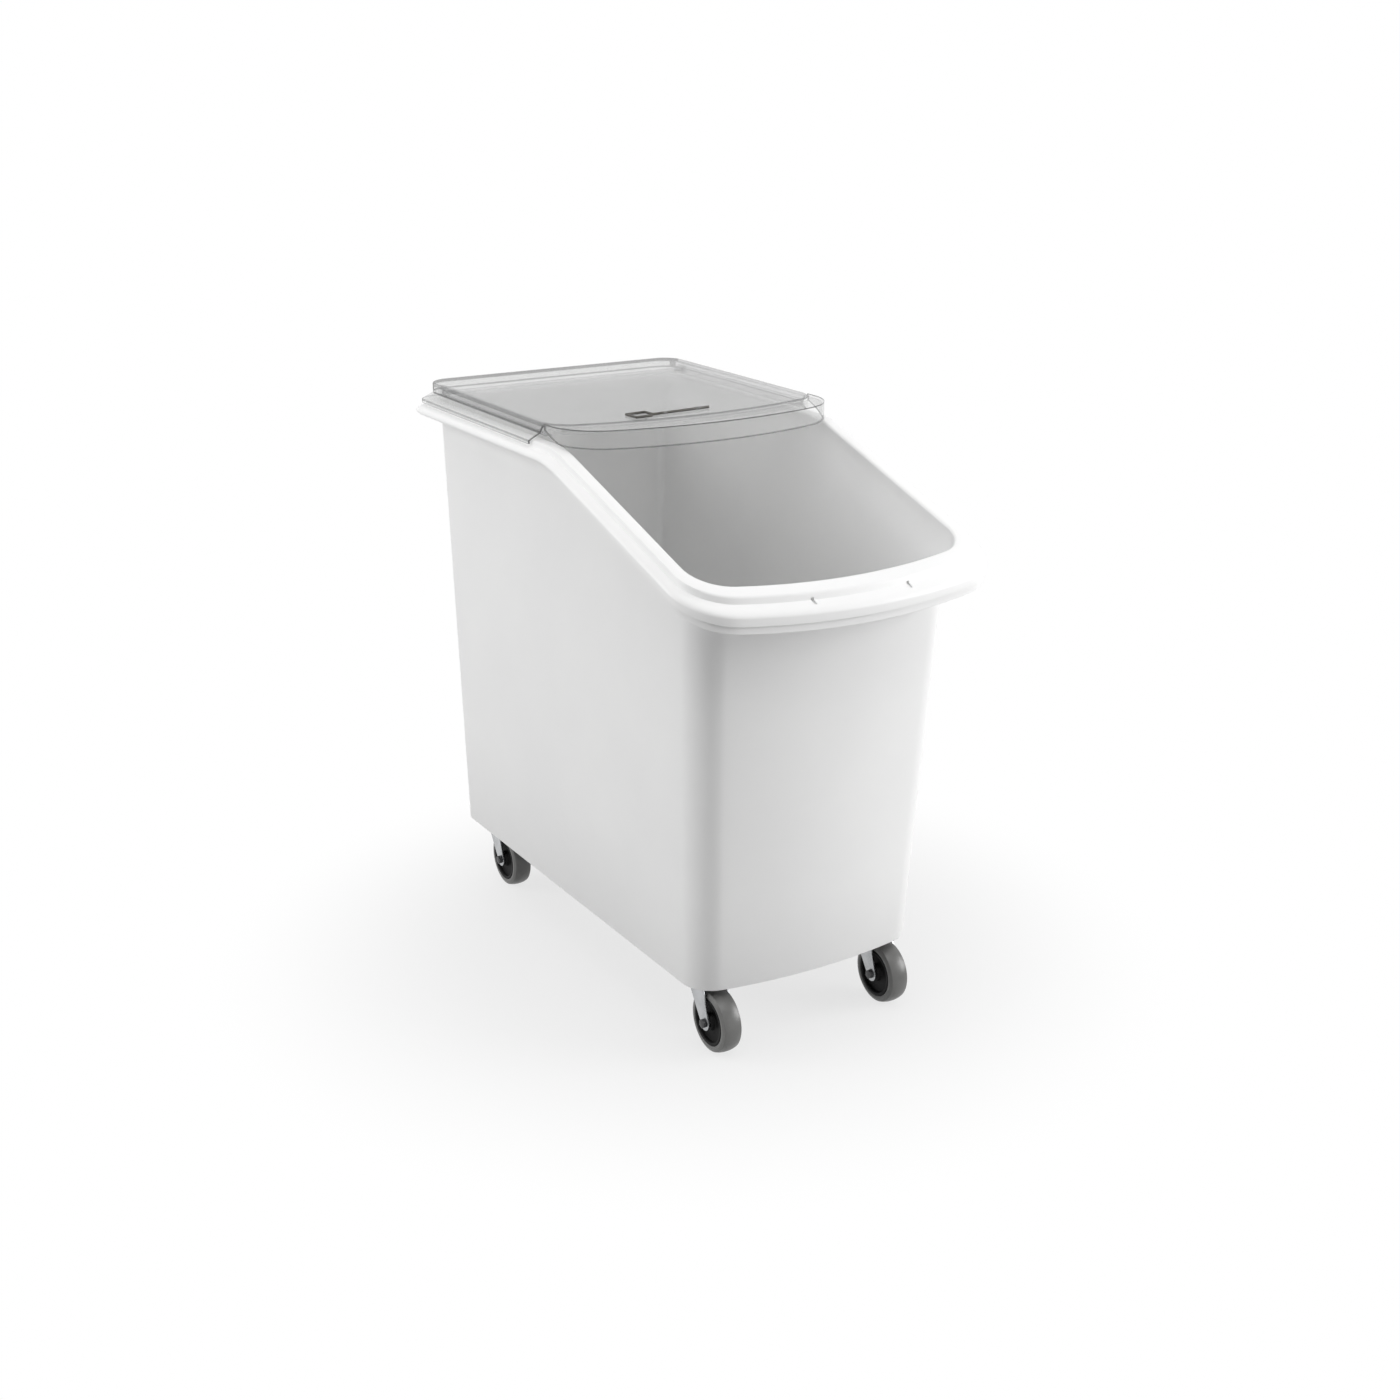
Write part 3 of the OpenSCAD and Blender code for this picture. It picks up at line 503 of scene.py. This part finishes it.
def clear_piece(node, body, cuts, kind):
    """Clear sheet whose edges show as lines of painted shade; kind gives each face its place in the list of
    materials.
    """
    mesh = clean_copy(node)
    for place, normal in cuts:
        split_at(mesh, place, normal)
    settle(mesh, LID_SMOOTH_DEG)
    mesh = applied(mesh, bevel(LID_EDGE), ("WEIGHTED_NORMAL", dict(keep_sharp=True)))
    mesh.materials.clear()
    for m in (clear_mat, faint_shade_mat, dark_shade_mat):
        mesh.materials.append(m)
    for p in mesh.polygons:
        p.material_index = kind(p.center, p.normal)
    return add_object(node + ".look", mesh, body, "clear_sheet", node)


def rear_kind(c, n):
    """Painted shade: lines at the ends and foot of the walls, the top edge (darker at the rear) and the
    flange's edges, and dark bands at the rounded rear corners.
    """
    outward = n.x * c.x + n.y * (c.y - LID_MID_Y) > 0
    if n.y < -TURNED and WALL_END_Y[0] < c.y < WALL_END_Y[1] and c.z < HAT_UNDER:
        return DARK_SHADE
    if outward and abs(n.z) < STEEP and FOOT_Z - BELOW_FOOT < c.z < FOOT_Z + FOOT_LINE_W:
        return DARK_SHADE
    # Painted shade: a dark band on the facets of each rounded rear corner, standing for the dark that light
    # bending in the corner gives
    if outward and abs(n.z) < TURNED and REAR_CORNER[0] < n.y < REAR_CORNER[1] and c.z > LIP_Z:
        return DARK_SHADE
    top_edge = ROUNDED_TOP[0] < n.z < ROUNDED_TOP[1] or (outward and abs(n.z) < UPRIGHT)
    if c.z > HAT_Z - HAT_LINE_W and top_edge:
        return DARK_SHADE if c.y > LID_BACK_Y else FAINT_SHADE
    if outward and (EDGE_Z - BELOW_EDGE < c.z < EDGE_Z + ABOVE_EDGE or c.z < LIP_Z + ABOVE_EDGE):
        return FAINT_SHADE
    return CLEAR


def front_kind(c, n):
    """Painted shade: lines at the skirt's slanted ends, the top of the front edge and the skirt's foot,
    darkest where the foot faces down.
    """
    if n.y > TURNED and abs(c.x) > CHEEK_X and c.z < HAT_UNDER:
        return DARK_SHADE
    if c.z > HAT_Z - TOP_LINE_W and abs(n.z) < NEAR_LEVEL:
        return DARK_SHADE
    # Painted shade: the skirt's foot is darkest where it faces down
    if c.y < CHEEK_Y and c.z < foot_height(c.y) + SKIRT_LINE_W:
        return DARK_SHADE if n.z < DOWNWARD else FAINT_SHADE
    return CLEAR


REAR_CUTS = level_cuts(HAT_Z - HAT_LINE_W, FOOT_Z + FOOT_LINE_W, EDGE_Z + ABOVE_EDGE, EDGE_Z - BELOW_EDGE,
                       LIP_Z + ABOVE_EDGE)
SKIRT_CUT = ((0, SKIRT_FRONT[0], SKIRT_FRONT[1] + SKIRT_LINE_W),
             (0, -math.sin(SKIRT_SLOPE), math.cos(SKIRT_SLOPE)))
clear_piece("rear_lid", "bin", REAR_CUTS, rear_kind)
clear_piece("front_lid", "front_lid", level_cuts(HAT_Z - TOP_LINE_W) + [SKIRT_CUT], front_kind)

# Guides, pins, hook, inserts

for side in ("left", "right"):
    rounded("rail_" + side, "bin", "guide_plastic", guide_mat, FINE_EDGE)
    rounded("runner_" + side, "lid_runner", "guide_plastic", guide_mat)
rounded("lid_pins", "front_lid", "steel", steel_mat, FINE_EDGE)
rounded("scoop_hook", "bin", "dark_wire", wire_mat, WIRE_EDGE)
rounded("hook_clips", "bin", "guide_plastic", guide_mat)
rounded("caster_inserts", "bin", "insert_brass", brass_mat, FINE_EDGE)

# Casters

LATHE_STEPS, TYRE_SMOOTH_DEG, HUB_SMOOTH_DEG = 96, 18, 50
WHEEL_R, HALF_TREAD, TYRE_BORE, HUB_R, RING_R = 0.0375, 0.0125, 0.02855, 0.0285, 0.0245
HUB_BORE, BOSS_R, BOSS_HALF, WEB_HALF = 0.00606, 0.0100, 0.0136, 0.0080

# Half of each wheel profile as (radius, along the axle): it starts in the bore and ends on the outside,
# both times at the middle plane
TYRE_HALF = [(TYRE_BORE, 0.0), (TYRE_BORE, 0.0119), (0.0291, HALF_TREAD), (0.0318, HALF_TREAD),
             (0.0352, 0.0110), (0.0357, 0.0105), (0.0368, 0.0072), (0.0374, 0.0036), (WHEEL_R, 0.0)]
HUB_HALF = [(HUB_BORE, 0.0), (HUB_BORE, 0.0130), (0.0068, BOSS_HALF), (0.0092, BOSS_HALF), (BOSS_R, 0.0128),
            (0.0103, 0.0092), (0.0112, 0.0081), (0.0122, WEB_HALF), (0.0230, WEB_HALF), (0.0240, 0.0085),
            (RING_R, 0.0118), (0.0251, HALF_TREAD), (0.0280, HALF_TREAD), (HUB_R, 0.0120), (HUB_R, 0.0)]


def mirrored(half):
    return half + [(r, -x) for r, x in reversed(half[1:-1])]


def lathe(name, profile, at):
    """Closed ring turned about the X axis through a point; profile is (radius, along) in order."""
    n = len(profile)
    verts, faces = [], []
    for i in range(LATHE_STEPS):
        a = 2 * math.pi * i / LATHE_STEPS
        for r, x in profile:
            verts.append((at[0] + x, at[1] + r * math.cos(a), at[2] + r * math.sin(a)))
    for i in range(LATHE_STEPS):
        here, there = i * n, ((i + 1) % LATHE_STEPS) * n
        for j in range(n):
            k = (j + 1) % n
            faces.append((here + j, here + k, there + k, there + j))
    return mesh_of(name, verts, faces)


for c in CASTERS:
    low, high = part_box("tyre_" + c)
    axle = tuple((low + high) / 2)
    tyre = dressed(lathe("tyre_" + c, mirrored(TYRE_HALF), axle), tyre_mat, TYRE_SMOOTH_DEG)
    add_object("tyre_" + c + ".look", tyre, "wheel_" + c, "tread_rubber", "tyre_" + c)
    hub = dressed(lathe("hub_" + c, mirrored(HUB_HALF), axle), hub_mat, HUB_SMOOTH_DEG)
    add_object("hub_" + c + ".look", hub, "wheel_" + c, "hub_plastic", "hub_" + c)
    rounded("fork_" + c, "fork_" + c, "zinc", zinc_mat, FORK_EDGE, FORK_EDGE_STEPS)
    rounded("axle_bolt_" + c, "fork_" + c, "steel", dark_steel_mat, BOLT_EDGE)
    rounded("axle_nut_" + c, "fork_" + c, "steel", dark_steel_mat, BOLT_EDGE)
    rounded("axle_bush_" + c, "fork_" + c, "steel", steel_mat, FINE_EDGE)
    rounded("head_" + c, "bin", "zinc", zinc_mat)
    rounded("kingpin_" + c, "bin", "zinc", zinc_mat, TUBE_EDGE)
    rounded("mount_bolt_" + c, "bin", "steel", steel_mat, BOLT_EDGE)
    balls = dressed(clean_copy("balls_" + c), steel_mat)
    add_object("balls_" + c + ".look", balls, "bin", "steel", "balls_" + c)

# Floor, light, camera

WHITE = (1, 1, 1, 1)
STAGE_R, STAGE_STEPS, STAGE_DROP = 60, 96, 0.0005
STAGE_TONES, STAGE_CLOUD = ((0.50, 0.50, 0.50), (0.52, 0.52, 0.52)), 0.7
STAGE_ROUGH, STAGE_SPECULAR = 0.8, 0.1
FADE_DISTANCE, FADE_SHARE = (0.22, 0.62), (0.72, 1.0)  # plain white takes over with distance
WORLD_LIGHT = (0.16, 0.72)  # at the horizon and straight up
DIM_SIDE, DIM_TURN, DIM_SHARE = (-0.6, -0.7, -0.35), (0.3, 1.0), (1.0, 0.1)  # dimmer low at the front left

# Lamps: place, target, width, power in watts
LAMPS = {"key": ((-2.6, 1.3, 1.5), (0, 0, 0.4), 1.6, 41),
         "fill": ((2.4, -1.7, 1.1), (0, 0, 0.4), 1.6, 60),
         "top": ((-0.3, -0.9, 2.8), (0, -0.1, 0.3), 2.0, 25)}

# Camera fitted to the photo: its right, up and back directions, place, focal length and picture width
CAMERA_AXES = ((0.8553, -0.5182, 0.0), (0.1711, 0.2824, 0.9440), (-0.4891, -0.8073, 0.3302))
CAMERA_PLACE, CAMERA_REACH = (-1.1425, -1.9076, 1.1050), 60
FOCAL_PX, PHOTO_PX, SENSOR_MM = 1919.85, 1400, 36.0


def seen_rays(nodes, links):
    """1 where a ray comes from the camera, a reflection or through clear sheet."""
    path = nodes.new("ShaderNodeLightPath")
    total = path.outputs["Is Camera Ray"]
    for name in ("Is Glossy Ray", "Is Transmission Ray"):
        total = math_node(nodes, links, "MAXIMUM", total, path.outputs[name])
    return total


def floor():
    """White floor: it takes the object's shadow near by and fades to plain white farther out."""
    mesh = edited(bpy.data.meshes.new("floor"), lambda bm: bmesh.ops.create_circle(
        bm, cap_ends=True, segments=STAGE_STEPS, radius=STAGE_R))
    m, nodes, links, shader = new_material("studio_floor")
    coord = nodes.new("ShaderNodeTexCoord").outputs["Object"]
    tone = ramp(nodes, links, noise(nodes, links, coord, STAGE_CLOUD), *STAGE_TONES)
    links.new(tone, shader.inputs["Base Color"])
    shader.inputs["Roughness"].default_value = STAGE_ROUGH
    shader.inputs["Specular IOR Level"].default_value = STAGE_SPECULAR
    distance = nodes.new("ShaderNodeVectorMath")
    distance.operation = "LENGTH"
    links.new(coord, distance.inputs[0])
    fade = map_range(nodes, links, distance.outputs["Value"], FADE_DISTANCE, FADE_SHARE, smooth=True)
    seen = math_node(nodes, links, "MULTIPLY", fade, seen_rays(nodes, links))
    white = nodes.new("ShaderNodeEmission")
    mix_shaders(nodes, links, seen, shader, white, nodes["Material Output"])
    mesh.materials.append(m)
    obj = bpy.data.objects.new("floor", mesh)
    obj.location.z = -STAGE_DROP
    scene.collection.objects.link(obj)


def world():
    """Plain white where it is seen; as light, brighter above and dimmer on one side."""
    w = bpy.data.worlds.new("studio")
    scene.world = w
    w.use_nodes = True
    nodes, links = w.node_tree.nodes, w.node_tree.links
    nodes.clear()
    seen = nodes.new("ShaderNodeBackground")
    light = nodes.new("ShaderNodeBackground")
    for background in (seen, light):
        background.inputs["Color"].default_value = WHITE
    direction = nodes.new("ShaderNodeTexCoord").outputs["Generated"]
    split = nodes.new("ShaderNodeSeparateXYZ")
    links.new(direction, split.inputs["Vector"])
    height = map_range(nodes, links, split.outputs["Z"], (0.0, 1.0), WORLD_LIGHT)
    side = nodes.new("ShaderNodeVectorMath")
    side.operation = "DOT_PRODUCT"
    side.inputs[1].default_value = DIM_SIDE
    links.new(direction, side.inputs[0])
    dim = map_range(nodes, links, side.outputs["Value"], DIM_TURN, DIM_SHARE, smooth=True)
    links.new(math_node(nodes, links, "MULTIPLY", height, dim), light.inputs["Strength"])
    mix_shaders(nodes, links, seen_rays(nodes, links), light, seen, nodes.new("ShaderNodeOutputWorld"))


def lamp(name, place, target, size, power):
    data = bpy.data.lights.new(name, "AREA")
    data.shape = "SQUARE"
    data.size = size
    data.energy = power
    obj = bpy.data.objects.new(name, data)
    obj.location = place
    obj.rotation_mode = "QUATERNION"
    obj.rotation_quaternion = (Vector(target) - Vector(place)).to_track_quat("-Z", "Y")
    scene.collection.objects.link(obj)


def camera():
    data = bpy.data.cameras.new("camera")
    data.sensor_width = SENSOR_MM
    data.lens = FOCAL_PX * SENSOR_MM / PHOTO_PX
    data.clip_end = CAMERA_REACH
    obj = bpy.data.objects.new("camera", data)
    place = Matrix(CAMERA_AXES).transposed().to_4x4()
    place.translation = CAMERA_PLACE
    obj.matrix_world = place
    scene.collection.objects.link(obj)
    scene.camera = obj


floor()
world()
for lamp_name, values in LAMPS.items():
    lamp(lamp_name, *values)
camera()
scene.view_settings.view_transform = "Standard"
